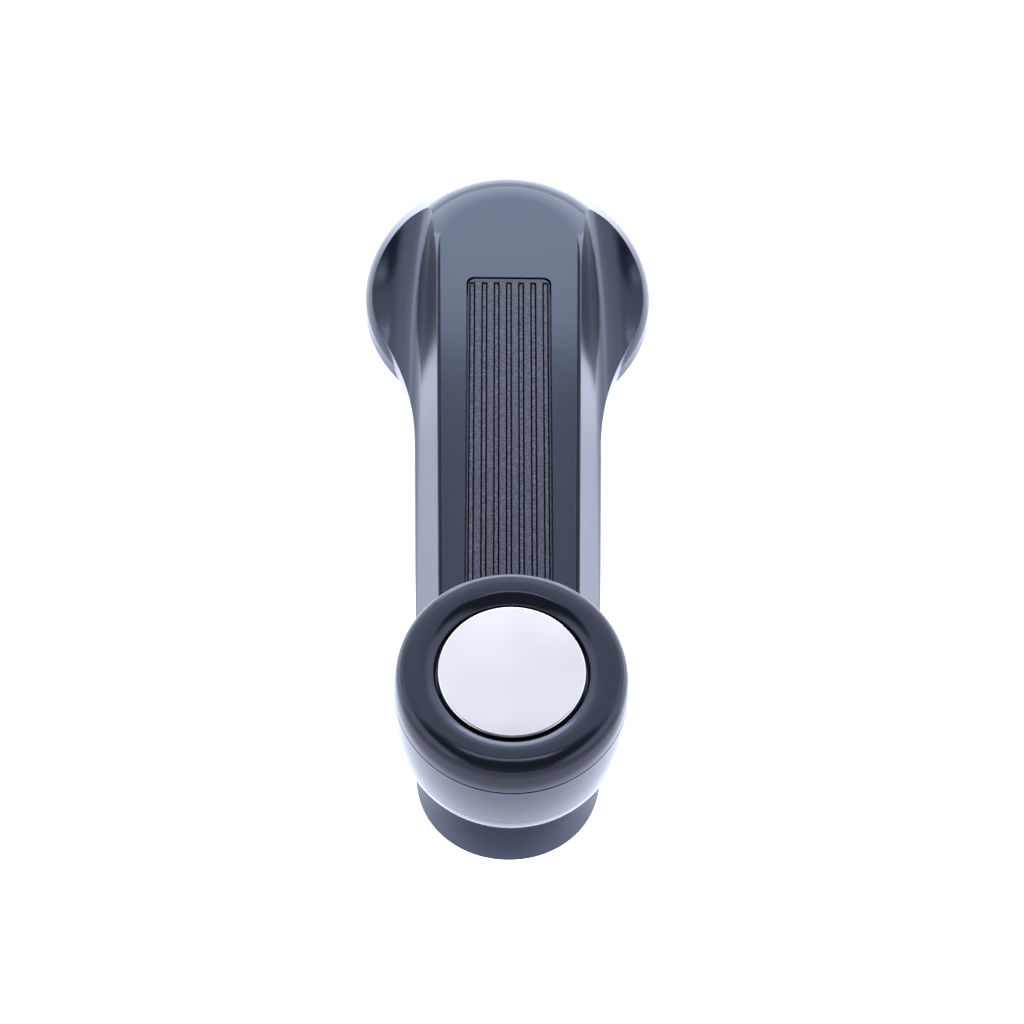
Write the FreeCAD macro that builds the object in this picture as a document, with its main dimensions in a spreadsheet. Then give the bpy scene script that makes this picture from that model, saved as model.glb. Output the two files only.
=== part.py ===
import FreeCAD, Part
import math
import os
import Sketcher

# Car window crank handle.
# Millimetres. The origin is on the regulator spindle's axis, on the face that rubs on the door trim.
# +Z runs along the spindle towards the user, and the arm runs from the hub towards -Y.

V = FreeCAD.Vector
os.makedirs("parts", exist_ok=True)
doc = FreeCAD.newDocument("window_crank")

# ---------------------------------------------------------------- driving dimensions

DIMENSIONS = {
    # arm and head
    "crank_throw": 89.0,           # hub axis to knob axis
    "rim_base": 0.5,               # the rim stands back from the wear ring's face
    "rim_radius": 22.5,
    "rim_shoulder_radius": 22.3,
    "rim_shoulder_height": 2.9,
    "dome_low_radius": 20.7,
    "dome_low_height": 6.2,
    "dome_break_radius": 15.5,
    "dome_break_height": 13.05,
    "dome_flat_radius": 10.5,
    "dome_round": 6.4,
    "rim_round": 9.3,
    "dome_side_round": 115.0,
    "hub_roof": 15.5,              # roof line's height over the hub
    "knob_roof": 19.4,             # and at the knob's axis
    "knob_underside": 8.4,         # underside's height at the knob's axis
    "neck_start_half": 19.41,
    "neck_start": 9.69,
    "neck_round": 50.0,
    "neck_end": 32.0,
    "neck_end_half": 14.1,
    "arm_end_radius": 13.1,
    "crest_half": 11.2,            # half the distance between the crests over the hub
    "bevel_run": 0.35,             # sideways run of a bevel for each unit of its height
    "scoop_floor": 4.8,
    "scoop_round": 7.0,
    "scoop_tail": 50.0,            # radius by which a scoop's floor climbs out of the head
    "scoop_tail_start": 9.0,
    "shell_wall": 2.2,
    "roof_stack": 4.6,             # panel recess, strip pocket and the wall under them
    "head_inner_roof": 10.4,
    # recessed panel and its strip
    "panel_depth": 0.9,
    "panel_land": 0.15,
    "panel_flare": 26.6,           # degrees, lean of the recess walls
    "crown_flat": 10.7,            # the head's top is level with the panel within this radius
    "crown_round": 8.2,
    "crown_reach": 27.0,
    "ridge_turn": 4.0,             # the crests bend down towards the back of the head from here
    "ridge_round": 30.0,
    "ridge_inner": 10.4,
    "strip_pocket_half": 6.5,
    "strip_pocket_start": 5.1,
    "strip_pocket_end": 75.5,
    "strip_pocket_depth": 1.9,
    "strip_gap": 0.2,
    "strip_corner": 1.2,
    "strip_rib_pitch": 1.87,
    "strip_rib_width": 1.0,
    "strip_rib_depth": 0.2,
    "strip_groove_width": 0.17,
    "strip_groove_depth": 0.5,
    "strip_lip": 0.75,
    "strip_edge_round": 0.25,
    "tab_inner": 4.8,
    "tab_outer": 5.9,
    "tab_length": 4.0,
    # hub
    "bush_flange_radius": 9.5,
    "bush_body_radius": 8.0,
    "bush_top_radius": 7.0,
    "bush_flat_half": 5.6,
    "bush_low": 0.8,
    "bush_flange_low": 5.2,
    "strap_hub_low": 7.2,
    "strap_thickness": 2.5,
    "bush_top": 12.2,
    "serration_root": 4.9,
    "serration_tip": 4.45,
    "serration_end": 8.8,
    "pilot_radius": 3.05,
    "pilot_end": 11.2,
    "clip_low": 3.2,
    "clip_thickness": 1.0,
    "clip_inner_half": 3.95,
    "clip_width": 2.3,
    "clip_slot_half": 3.8,
    # strap
    "strap_half": 4.5,
    "strap_ring_radius": 10.8,
    "strap_knob_low": 11.2,
    "strap_hub_flat": 22.0,
    "strap_knob_flat": 70.0,
    "screw_hub": 17.0,
    "screw_knob": 77.0,
    # knob spindle and knob
    "seat_height": 20.0,           # face of the arm's boss under the knob
    "seat_radius": 8.0,
    "spindle_radius": 3.0,
    "bush_clearance": 0.05,
    "knob_low": 21.5,
    "knob_equator": 36.6,
    "knob_radius": 16.1,
    "cap_radius": 10.15,
    "cap_seat": 39.9,
    "adhesive_thickness": 0.4,
}

dims = doc.addObject("Spreadsheet::Sheet", "Dims")
for row, (alias, value) in enumerate(DIMENSIONS.items(), start=1):
    dims.set("A%d" % row, alias)
    dims.set("B%d" % row, str(value))
    dims.setAlias("B%d" % row, alias)
doc.recompute()


class Size:
    """A length that knows its value and the sheet expression that gives it."""

    def __init__(self, value, text):
        self.value = value
        self.text = text

    @staticmethod
    def of(other):
        return other if isinstance(other, Size) else Size(float(other), repr(float(other)))

    def join(self, other, sign, value):
        return Size(value, "(%s %s %s)" % (self.text, sign, Size.of(other).text))

    def __add__(self, other):
        return self.join(other, "+", self.value + Size.of(other).value)

    def __sub__(self, other):
        return self.join(other, "-", self.value - Size.of(other).value)

    def __mul__(self, other):
        return self.join(other, "*", self.value * Size.of(other).value)

    def __truediv__(self, other):
        return self.join(other, "/", self.value / Size.of(other).value)

    def __radd__(self, other):
        return Size.of(other) + self

    def __rsub__(self, other):
        return Size.of(other) - self

    def __rmul__(self, other):
        return Size.of(other) * self

    def __neg__(self):
        return Size(-self.value, "(-1 * %s)" % self.text)


class Sheet:
    """Gives each alias of the sheet as a Size."""

    def __getattr__(self, alias):
        return Size(float(dims.get(alias)), "Dims." + alias)


D = Sheet()

# ---------------------------------------------------------------- drawing helpers


def new_body(label):
    body = doc.addObject("PartDesign::Body", label)
    body.Label = label
    return body


def origin_feature(body, role):
    return next(f for f in body.Origin.OriginFeatures if f.Role == role)


def new_sketch(body, name, role, offset=0):
    sketch = body.newObject("Sketcher::SketchObject", name)
    sketch.AttachmentSupport = [(origin_feature(body, role), "")]
    sketch.MapMode = "FlatFace"
    offset = Size.of(offset)
    sketch.AttachmentOffset = FreeCAD.Placement(V(0, 0, offset.value), FreeCAD.Rotation())
    sketch.setExpression("AttachmentOffset.Base.z", offset.text)
    return sketch


def bind(sketch, kind, *where):
    *elements, size = where
    index = sketch.addConstraint(Sketcher.Constraint(kind, *elements, size.value))
    sketch.setExpression("Constraints[%d]" % index, size.text)


def outline(sketch, corners):
    """Draws a closed outline. A corner is (x, y), or (x, y, radius) where an arc leads to the next
    corner: a positive radius turns anticlockwise, a negative one clockwise."""
    points = [(Size.of(c[0]), Size.of(c[1])) for c in corners]
    first = sketch.GeometryCount
    for i, corner in enumerate(corners):
        start = V(points[i][0].value, points[i][1].value, 0)
        after = points[(i + 1) % len(corners)]
        end = V(after[0].value, after[1].value, 0)
        if len(corner) == 2:
            sketch.addGeometry(Part.LineSegment(start, end))
            ends = (1, 2)
        else:
            radius = Size.of(corner[2])
            ends = add_arc(sketch, start, end, radius)
        geometry = first + i
        bind(sketch, "DistanceX", -1, 1, geometry, ends[0], points[i][0])
        bind(sketch, "DistanceY", -1, 1, geometry, ends[0], points[i][1])
        bind(sketch, "DistanceX", -1, 1, geometry, ends[1], after[0])
        bind(sketch, "DistanceY", -1, 1, geometry, ends[1], after[1])


def add_arc(sketch, start, end, radius):
    chord = end - start
    middle = (start + end) * 0.5
    reach = math.sqrt(max(radius.value ** 2 - chord.Length ** 2 / 4, 0))
    side = V(-chord.y, chord.x, 0)
    side.normalize()
    centre = middle + side * reach * math.copysign(1, radius.value)
    left, right = (start, end) if radius.value > 0 else (end, start)
    circle = Part.Circle(centre, V(0, 0, 1), abs(radius.value))
    from_angle = math.atan2(left.y - centre.y, left.x - centre.x)
    to_angle = math.atan2(right.y - centre.y, right.x - centre.x)
    geometry = sketch.addGeometry(Part.ArcOfCircle(circle, from_angle, to_angle))
    if reach > 0.01:
        bind(sketch, "Radius", geometry, radius if radius.value > 0 else -radius)
    elif abs(side.y) > abs(side.x):
        bind(sketch, "DistanceY", -1, 1, geometry, 3, Size.of(middle.y))
    else:
        bind(sketch, "DistanceX", -1, 1, geometry, 3, Size.of(middle.x))
    return (1, 2) if radius.value > 0 else (2, 1)


def circle(sketch, x, y, radius):
    x, y, radius = Size.of(x), Size.of(y), Size.of(radius)
    geometry = sketch.addGeometry(Part.Circle(V(x.value, y.value, 0), V(0, 0, 1), radius.value))
    bind(sketch, "DistanceX", -1, 1, geometry, 3, x)
    bind(sketch, "DistanceY", -1, 1, geometry, 3, y)
    bind(sketch, "Radius", geometry, radius)


def rectangle(sketch, left, low, right, high):
    outline(sketch, [(left, low), (right, low), (right, high), (left, high)])


def feature(body, kind, name, sketch, length=None, side="One side", **settings):
    """Adds a Pad or Pocket whose length is bound to the sheet."""
    item = body.newObject("PartDesign::" + kind, name)
    item.Profile = sketch
    if length is not None:
        length = Size.of(length)
        item.Length = length.value
        item.setExpression("Length", length.text)
        item.SideType = side
    for key, value in settings.items():
        setattr(item, key, value)
    sketch.Visibility = False
    return item


def pad(body, name, sketch, length, **settings):
    return feature(body, "Pad", name, sketch, length, **settings)


def pocket(body, name, sketch, length, **settings):
    return feature(body, "Pocket", name, sketch, length, **settings)


def turned(body, name, sketch, kind="Revolution"):
    item = feature(body, kind, name, sketch)
    item.ReferenceAxis = (sketch, ["V_Axis"])
    item.Angle = 360
    return item


def lathe(label, corners, y=0):
    """A body turned about a vertical axis at (0, y) from a half outline (radius, height)."""
    body = new_body(label)
    sketch = new_sketch(body, label + "_outline", "XZ_Plane")
    outline(sketch, corners)
    turned(body, label + "_turned", sketch)
    y = Size.of(y)
    body.Placement = FreeCAD.Placement(V(0, y.value, 0), FreeCAD.Rotation())
    body.setExpression("Placement.Base.y", y.text)
    return body


def boolean(kind, name, base, tools):
    if kind == "Cut":
        item = doc.addObject("Part::Cut", name)
        item.Base = base
        item.Tool = tools
    else:
        item = doc.addObject(kind, name)
        item.Shapes = [base] + tools
    return item


def fuse(name, *shapes):
    return boolean("Part::MultiFuse", name, shapes[0], list(shapes[1:]))


def common(name, *shapes):
    return boolean("Part::MultiCommon", name, shapes[0], list(shapes[1:]))


def cut(name, base, tool):
    return boolean("Cut", name, base, tool)


def mirrored(name, source):
    item = doc.addObject("Part::Mirroring", name)
    item.Source = source
    item.Normal = V(1, 0, 0)
    return item


KNOB_Y = -D.crank_throw
FAR = 130
ABOVE = 40
roof_rise = (D.knob_roof - D.hub_roof) / D.crank_throw
underside_rise = D.knob_underside / D.crank_throw
ROOF_ANGLE = math.degrees(math.atan(roof_rise.value))
ROOF_PLACE = FreeCAD.Placement(V(0, 0, D.hub_roof.value), FreeCAD.Rotation(V(1, 0, 0), -ROOF_ANGLE))


def on_roof(body):
    """Lays a body that was drawn flat onto the roof line, whose own -Y runs towards the knob."""
    body.Placement = ROOF_PLACE
    body.setExpression("Placement.Base.z", D.hub_roof.text)
    return body


def roof_at(y):
    return D.hub_roof - roof_rise * y


# ---------------------------------------------------------------- arm shell: outside


def arm_plan(sketch, inset):
    """Plan outline of the arm: concave neck, tapered sides and a round end."""
    start_half = D.neck_start_half - inset
    end_half = D.neck_end_half - inset
    tip = D.arm_end_radius - inset
    neck = D.neck_round + inset
    outline(sketch, [
        (-start_half, 0),
        (-start_half, -D.neck_start, -neck),
        (-end_half, -D.neck_end),
        (-tip, KNOB_Y, tip),
        (tip, KNOB_Y),
        (end_half, -D.neck_end, -neck),
        (start_half, -D.neck_start),
        (start_half, 0),
    ])


RIDGE_LEAN = math.radians(30)          # how far the crests' line has turned at its back end
ridge_sweep = math.sin(RIDGE_LEAN) - math.sin(math.radians(ROOF_ANGLE))
ridge_drop = math.cos(math.radians(ROOF_ANGLE)) - math.cos(RIDGE_LEAN)
ridge_back = D.ridge_round * ridge_sweep - D.ridge_turn


def roof_cut(body, name, drop):
    """Removes what stands above the roof line, which bends down over the head, lowered by drop."""
    sketch = new_sketch(body, name + "_outline", "YZ_Plane")
    turn_height = roof_at(-D.ridge_turn) - drop
    outline(sketch, [
        (ridge_back, turn_height - D.ridge_round * ridge_drop, D.ridge_round),
        (-D.ridge_turn, turn_height),
        (-FAR, roof_at(-FAR) - drop),
        (-FAR, ABOVE),
        (ridge_back, ABOVE),
    ])
    pocket(body, name, sketch, 2 * ABOVE, side="Symmetric")


SCOOP_BACK = 24                        # the cutter reaches past the back of the head
SCOOP_TAIL_TURN = 35                   # degrees that its floor has turned at its back end
BELOW = -5


def scoop(label, inset):
    """Cutter for one side: a bevel from the crest down to a dished floor that climbs at the back.
    The inset moves every face into the material, for the cavity behind it."""
    body = new_body(label)
    floor = D.scoop_floor - inset
    slant = inset * math.sqrt(1 + D.bevel_run.value ** 2)
    crest = D.crest_half - slant
    foot = crest + (D.hub_roof - floor) * D.bevel_run
    head = crest + (D.hub_roof - ABOVE) * D.bevel_run
    tail = D.scoop_tail + inset
    back = SCOOP_BACK
    section = new_sketch(body, label + "_section", "XZ_Plane", -back)
    outline(section, [(foot, floor), (ABOVE, floor), (ABOVE, ABOVE), (head, ABOVE)])
    pad(body, label + "_block", section, FAR + back)
    turn = math.radians(SCOOP_TAIL_TURN)
    tail_y = tail * math.sin(turn) - D.scoop_tail_start
    tail_z = floor + tail * (1 - math.cos(turn))
    rising = new_sketch(body, label + "_rising_floor", "YZ_Plane")
    outline(rising, [
        (-D.scoop_tail_start, floor, tail),
        (tail_y, tail_z),
        (back + 1, tail_z),
        (back + 1, BELOW),
        (-D.scoop_tail_start, BELOW),
    ])
    rise = pocket(body, label + "_tail", rising, 2 * ABOVE, side="Symmetric")
    doc.recompute()
    edges = []
    for number, edge in enumerate(rise.Shape.Edges, start=1):
        low = min(v.Z for v in edge.Vertexes) < tail_z.value - 0.1
        middle = edge.valueAt((edge.FirstParameter + edge.LastParameter) / 2)
        on_bevel = abs(middle.x - crest.value - (D.hub_roof.value - middle.z) * D.bevel_run.value) < 0.01
        along = abs(edge.BoundBox.YLength) > 5 and edge.BoundBox.ZLength < tail_z.value
        if low and on_bevel and along:
            edges.append("Edge%d" % number)
    rounding = body.newObject("PartDesign::Fillet", label + "_round")
    rounding.Base = (rise, edges)
    radius = D.scoop_round + inset
    rounding.Radius = radius.value
    rounding.setExpression("Radius", radius.text)
    return body


def end_cutter(label, inset):
    """Cutter for the arm's end: carries the bevels round the knob axis as a cone."""
    slant = inset * math.sqrt(1 + D.bevel_run.value ** 2)
    crest = D.crest_half - (D.knob_roof - D.hub_roof) * D.bevel_run - slant
    ring = lathe(label + "_ring", [
        (crest + D.knob_roof * D.bevel_run, 0),
        (ABOVE, 0),
        (ABOVE, ABOVE),
        (crest + (D.knob_roof - ABOVE) * D.bevel_run, ABOVE),
    ], KNOB_Y)
    room = doc.addObject("Part::Box", label + "_room")
    room.Length = 3 * ABOVE
    room.Width = 2 * ABOVE
    room.Height = 2 * ABOVE
    room.Placement.Base = V(-1.5 * ABOVE, KNOB_Y.value, -ABOVE / 2)
    room.setExpression("Placement.Base.y", KNOB_Y.text)
    return cut(label, ring, room)


arm_block = new_body("arm_block")
plan = new_sketch(arm_block, "arm_plan", "XY_Plane")
arm_plan(plan, 0)
pad(arm_block, "arm_pad", plan, ABOVE)
roof_cut(arm_block, "arm_roof", 0)
under = new_sketch(arm_block, "arm_underside_outline", "YZ_Plane")
outline(under, [(1, -1), (1, D.rim_base), (0, D.rim_base),
                (-FAR, underside_rise * FAR + D.rim_base), (-FAR, -1)])
pocket(arm_block, "arm_underside", under, 2 * ABOVE, side="Symmetric")

head_round = lathe("head_round", [
    (0, D.rim_base),
    (D.rim_radius, D.rim_base),
    (D.rim_shoulder_radius, D.rim_shoulder_height, D.rim_round),
    (D.dome_low_radius, D.dome_low_height, D.dome_side_round),
    (D.dome_break_radius, D.dome_break_height, D.dome_round),
    (D.dome_flat_radius, D.hub_roof),
    (0, D.hub_roof),
])

crown = new_body("crown")
CROWN_LEAN = math.radians(52)
CROWN_SLOPE = math.radians(50)         # below the rounding the crown keeps clear of the head's side
CROWN_FOOT = -24
crown_outline = new_sketch(crown, "crown_outline", "XZ_Plane", 0)
crown_rim = D.crown_flat + D.crown_round * math.sin(CROWN_LEAN)
crown_low = -D.panel_depth - D.crown_round * (1 - math.cos(CROWN_LEAN))
outline(crown_outline, [
    (0, CROWN_FOOT),
    (D.crown_reach, CROWN_FOOT),
    (D.crown_reach, crown_low - (D.crown_reach - crown_rim) * math.tan(CROWN_SLOPE)),
    (crown_rim, crown_low, D.crown_round),
    (D.crown_flat, -D.panel_depth),
    (0, -D.panel_depth),
])
turned(crown, "crown_turned", crown_outline)
on_roof(crown)

ridges = new_body("ridges")
ridges.AllowCompound = True
ridge_plan = new_sketch(ridges, "ridge_plan", "XY_Plane", D.scoop_floor)
RIDGE_OUTER = 16                       # the scoops trim the ridges' outer sides
rectangle(ridge_plan, D.ridge_inner, -1, RIDGE_OUTER, ridge_back)
rectangle(ridge_plan, -RIDGE_OUTER, -1, -D.ridge_inner, ridge_back)
pad(ridges, "ridge_pad", ridge_plan, ABOVE)
roof_cut(ridges, "ridge_roof", 0)

head = common("head", head_round, fuse("crown_and_ridges", crown, ridges))
arm_solid = fuse("arm_solid", arm_block, head)

scoop_right = scoop("scoop_right", 0)
scoop_left = mirrored("scoop_left", scoop_right)


def crest_plan(y):
    """Half-width between the crests at y, less the land beside each crest."""
    return D.crest_half - D.panel_land - (roof_at(y) - D.hub_roof) * D.bevel_run


panel_tool = new_body("panel_tool")
flare = math.tan(math.radians(D.panel_flare.value))
sunk = D.panel_depth * flare
PANEL_BACK = 18
PANEL_TOOL_TOP = 3


def panel_section(name, y):
    """Cross section of the recess at y, wider at the top than at its floor."""
    sketch = new_sketch(panel_tool, name, "XZ_Plane", -Size.of(y))
    half = crest_plan(y)
    outline(sketch, [
        (-half + sunk, -D.panel_depth),
        (half - sunk, -D.panel_depth),
        (half + PANEL_TOOL_TOP * flare, PANEL_TOOL_TOP),
        (-half - PANEL_TOOL_TOP * flare, PANEL_TOOL_TOP),
    ])
    return sketch


panel_loft = panel_tool.newObject("PartDesign::AdditiveLoft", "panel_channel")
panel_loft.Profile = panel_section("panel_hub_end", PANEL_BACK)
panel_loft.Sections = [panel_section("panel_knob_end", KNOB_Y)]
panel_end = new_sketch(panel_tool, "panel_end_outline", "XZ_Plane", D.crank_throw)
outline(panel_end, [
    (0, -D.panel_depth),
    (crest_plan(KNOB_Y) - sunk, -D.panel_depth),
    (crest_plan(KNOB_Y) + PANEL_TOOL_TOP * flare, PANEL_TOOL_TOP),
    (0, PANEL_TOOL_TOP),
])
turned(panel_tool, "panel_round_end", panel_end)
on_roof(panel_tool)


def strip_plan(sketch, gap):
    """Rounded rectangle of the strip pocket, or of the strip when gap is the space around it."""
    half = D.strip_pocket_half - gap
    back = -(D.strip_pocket_start + gap)
    front = -(D.strip_pocket_end - gap)
    corner = D.strip_corner
    outline(sketch, [
        (-half + corner, front),
        (half - corner, front, corner),
        (half, front + corner),
        (half, back - corner, corner),
        (half - corner, back),
        (-half + corner, back, corner),
        (-half, back - corner),
        (-half, front + corner, corner),
    ])


TAB_STATIONS = (-18, -42, -66)
SLOT_GAP = 0.3

strip_tool = new_body("strip_tool")
strip_floor = -(D.panel_depth + D.strip_pocket_depth)
STRIP_TOOL_HEIGHT = 6
SLOT_DEPTH = 3
strip_sketch = new_sketch(strip_tool, "strip_pocket_plan", "XY_Plane", strip_floor)
strip_plan(strip_sketch, 0)
pad(strip_tool, "strip_pocket", strip_sketch, STRIP_TOOL_HEIGHT)
slots = new_sketch(strip_tool, "tab_slots_plan", "XY_Plane", strip_floor - SLOT_DEPTH)
for station in TAB_STATIONS:
    for side in (-1, 1):
        near = side * (D.tab_inner - SLOT_GAP)
        far = side * (D.tab_outer + SLOT_GAP)
        left, right = (near, far) if side > 0 else (far, near)
        half = D.tab_length / 2 + SLOT_GAP
        rectangle(slots, left, station - half, right, station + half)
pad(strip_tool, "tab_slots", slots, SLOT_DEPTH + 0.5)
on_roof(strip_tool)

# ---------------------------------------------------------------- arm shell: inside

cavity_block = new_body("cavity_block")
inner_plan = new_sketch(cavity_block, "cavity_plan", "XY_Plane", -1)
arm_plan(inner_plan, D.shell_wall)
pad(cavity_block, "cavity_pad", inner_plan, ABOVE)
roof_cut(cavity_block, "cavity_roof", D.roof_stack)
inner_head = new_sketch(cavity_block, "inner_head_outline", "XZ_Plane")
RIM_WALL = 2.5
INNER_SHOULDER = 2.4
INNER_SLOPE_RUN = 1.5
INNER_SLOPE_TOP = 5.5
INNER_ROOF_RUN = 7.4
inner_radius = D.rim_radius - RIM_WALL
outline(inner_head, [
    (0, -1),
    (inner_radius, -1),
    (inner_radius, INNER_SHOULDER),
    (inner_radius - INNER_SLOPE_RUN, INNER_SLOPE_TOP),
    (inner_radius - INNER_ROOF_RUN, D.head_inner_roof),
    (0, D.head_inner_roof),
])
turned(cavity_block, "inner_head", inner_head)
inset_right = scoop("inset_right", D.shell_wall)
inset_left = mirrored("inset_left", inset_right)
cavity = cut("cavity_cut_left", cut("cavity_cut_right", cavity_block, inset_right), inset_left)
cavity = cut("cavity", cavity, end_cutter("inset_end", D.shell_wall))

bosses = new_body("bosses")
BOSS_HEIGHT = 5                        # the bosses run up into the roof, which trims them
SCREW_BOSS_RADIUS = 3.6
WEB_HALF = 1
hub_boss = new_sketch(bosses, "hub_boss_plan", "XY_Plane", D.strap_hub_low + D.strap_thickness)
circle(hub_boss, 0, 0, D.bush_flange_radius)
pad(bosses, "hub_boss", hub_boss, BOSS_HEIGHT)
hub_screw_boss = new_sketch(bosses, "hub_screw_boss_plan", "XY_Plane", D.strap_hub_low + D.strap_thickness)
circle(hub_screw_boss, 0, -D.screw_hub, SCREW_BOSS_RADIUS)
rectangle(hub_screw_boss, -WEB_HALF, -D.screw_hub + SCREW_BOSS_RADIUS + 0.1,
          WEB_HALF, -D.bush_flange_radius - 0.1)
bosses.AllowCompound = True
pad(bosses, "hub_screw_boss", hub_screw_boss, BOSS_HEIGHT)
knob_boss = new_sketch(bosses, "knob_boss_plan", "XY_Plane", D.strap_knob_low + D.strap_thickness)
circle(knob_boss, 0, KNOB_Y, D.seat_radius - 1)
circle(knob_boss, 0, -D.screw_knob, SCREW_BOSS_RADIUS)
pad(bosses, "knob_boss", knob_boss, 3)

RIB_STATIONS = (-26, -34, -50, -58, -74)
RIB_THICKNESS = 1.4
ribs = new_body("ribs")
ribs.AllowCompound = True
rib_plan = new_sketch(ribs, "rib_plan", "XY_Plane", 0)
for station in RIB_STATIONS:
    for side in (-1, 1):
        near = side * (D.strap_half + 0.5)
        far = Size.of(side * 16)
        left, right = (near, far) if side > 0 else (far, near)
        rectangle(rib_plan, left, station - RIB_THICKNESS / 2, right, station + RIB_THICKNESS / 2)
pad(ribs, "cross_ribs", rib_plan, ABOVE)
rib_under = new_sketch(ribs, "rib_underside_outline", "YZ_Plane")
outline(rib_under, [(1, -1), (1, 2.5), (-FAR, underside_rise * FAR + 2.5), (-FAR, -1)])
pocket(ribs, "rib_underside", rib_under, 2 * ABOVE, side="Symmetric")

HEAD_RIB_ANGLES = (-32, 0, 32, 148, 180, 212)
HEAD_RIB_START = 13.5                  # clear of the core strap
HEAD_RIB_END = 20.8
HEAD_RIB_LOW = 1.4
head_ribs = []
for angle in HEAD_RIB_ANGLES:
    rib = doc.addObject("Part::Box", "head_rib_%d" % (angle % 360))
    rib.Length = HEAD_RIB_END - HEAD_RIB_START
    rib.Width = RIB_THICKNESS
    rib.Height = 12
    rotation = FreeCAD.Rotation(V(0, 0, 1), angle)
    corner = rotation.multVec(V(HEAD_RIB_START, -RIB_THICKNESS / 2, 0)) + V(0, 0, HEAD_RIB_LOW)
    rib.Placement = FreeCAD.Placement(corner, rotation)
    head_ribs.append(rib)

outside = cut("outside_cut_right", arm_solid, scoop_right)
outside = cut("outside_cut_left", outside, scoop_left)
outside = cut("outside", outside, end_cutter("end_slope", 0))
hollow = cut("hollow", outside, cavity)
inner_solids = fuse("inner_solids", bosses, ribs, *head_ribs)
inner_kept = common("inner_kept", inner_solids, outside)
shell_full = fuse("shell_full", hollow, inner_kept)

seat_pad = doc.addObject("Part::Cylinder", "seat_pad")
seat_pad.setExpression("Radius", "Dims.seat_radius")
seat_pad.setExpression("Height", "Dims.seat_height - Dims.strap_knob_low - Dims.strap_thickness")
seat_pad.setExpression("Placement.Base.y", "-Dims.crank_throw")
seat_pad.setExpression("Placement.Base.z", "Dims.strap_knob_low + Dims.strap_thickness")
shell_recessed = cut("shell_recessed", cut("shell_panel", shell_full, panel_tool), strip_tool)
shell_seat = fuse("shell_seat", shell_recessed, seat_pad)

FIT_GAP = 0.03
SCREW_CORE = 1.25
HUB_SCREW_TIP = 12.7
KNOB_SCREW_TIP = 16.7


def bore(name, y, radius, low, high):
    hole = doc.addObject("Part::Cylinder", name)
    for key, size in (("Radius", radius), ("Height", Size.of(high) - low),
                      ("Placement.Base.y", y), ("Placement.Base.z", low)):
        hole.setExpression(key, Size.of(size).text)
    return hole


shell_bores = fuse(
    "shell_bores",
    bore("bush_bore", 0, D.bush_top_radius + FIT_GAP, -1, D.bush_top + 0.1),
    bore("spindle_bore", KNOB_Y, D.spindle_radius + 1.5 + FIT_GAP, D.strap_knob_low, 25),
    bore("hub_screw_bore", -D.screw_hub, SCREW_CORE + 0.05, 5, HUB_SCREW_TIP + 0.3),
    bore("knob_screw_bore", -D.screw_knob, SCREW_CORE + 0.05, 9, KNOB_SCREW_TIP + 0.5),
)
arm_shell = cut("arm_shell", shell_seat, shell_bores)
arm_shell.Label = "arm_shell"

# ---------------------------------------------------------------- trim strip

trim_strip = new_body("trim_strip")
seat_gap = 0.05
strip_base = new_sketch(trim_strip, "strip_plan", "XY_Plane", strip_floor + seat_gap)
strip_plan(strip_base, D.strip_gap)
pad(trim_strip, "strip_plate", strip_base, D.strip_pocket_depth - seat_gap)
doc.recompute()
plate = trim_strip.Tip
strip_rim = []
for number, edge in enumerate(plate.Shape.Edges, start=1):
    if edge.BoundBox.ZMin > -D.panel_depth.value - 0.01:
        strip_rim.append("Edge%d" % number)
strip_round = trim_strip.newObject("PartDesign::Fillet", "strip_edge")
strip_round.Base = (plate, strip_rim)
strip_round.setExpression("Radius", D.strip_edge_round.text)
lands = new_sketch(trim_strip, "lands_plan", "XY_Plane", -D.panel_depth)
RIBS = 6
rib_edges = [(n - (RIBS - 1) / 2) * D.strip_rib_pitch for n in range(RIBS)]
inner_back = -(D.strip_pocket_start + D.strip_gap + D.strip_lip)
inner_front = -(D.strip_pocket_end - D.strip_gap - D.strip_lip)
outer_land = D.strip_pocket_half - D.strip_gap - D.strip_edge_round
land_starts = [-outer_land] + [centre + D.strip_rib_width / 2 for centre in rib_edges]
land_ends = [centre - D.strip_rib_width / 2 for centre in rib_edges] + [outer_land]
for left, right in zip(land_starts, land_ends):
    rectangle(lands, left, inner_front, right, inner_back)
pocket(trim_strip, "lands", lands, D.strip_rib_depth)
grooves = new_sketch(trim_strip, "grooves_plan", "XY_Plane", -D.panel_depth)
for centre in rib_edges:
    for side in (-1, 1):
        wall = centre + side * D.strip_rib_width / 2
        far = wall + side * D.strip_groove_width
        left, right = (wall, far) if side > 0 else (far, wall)
        rectangle(grooves, left, inner_front, right, inner_back)
pocket(trim_strip, "grooves", grooves, D.strip_groove_depth)
TAB_DROP = 2.6
tabs = new_sketch(trim_strip, "tabs_plan", "XY_Plane", strip_floor - TAB_DROP)
for station in TAB_STATIONS:
    for side in (-1, 1):
        near = side * D.tab_inner
        far = side * D.tab_outer
        left, right = (near, far) if side > 0 else (far, near)
        rectangle(tabs, left, station - D.tab_length / 2, right, station + D.tab_length / 2)
pad(trim_strip, "tabs", tabs, TAB_DROP + seat_gap)
on_roof(trim_strip)

# ---------------------------------------------------------------- hub


def serration(sketch, count=24):
    """Ring of triangular teeth between the root and tip radii."""
    corners = []
    for n in range(2 * count):
        radius = D.serration_root if n % 2 == 0 else D.serration_tip
        angle = math.pi * n / count
        corners.append((radius * math.cos(angle), radius * math.sin(angle)))
    outline(sketch, corners)


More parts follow.
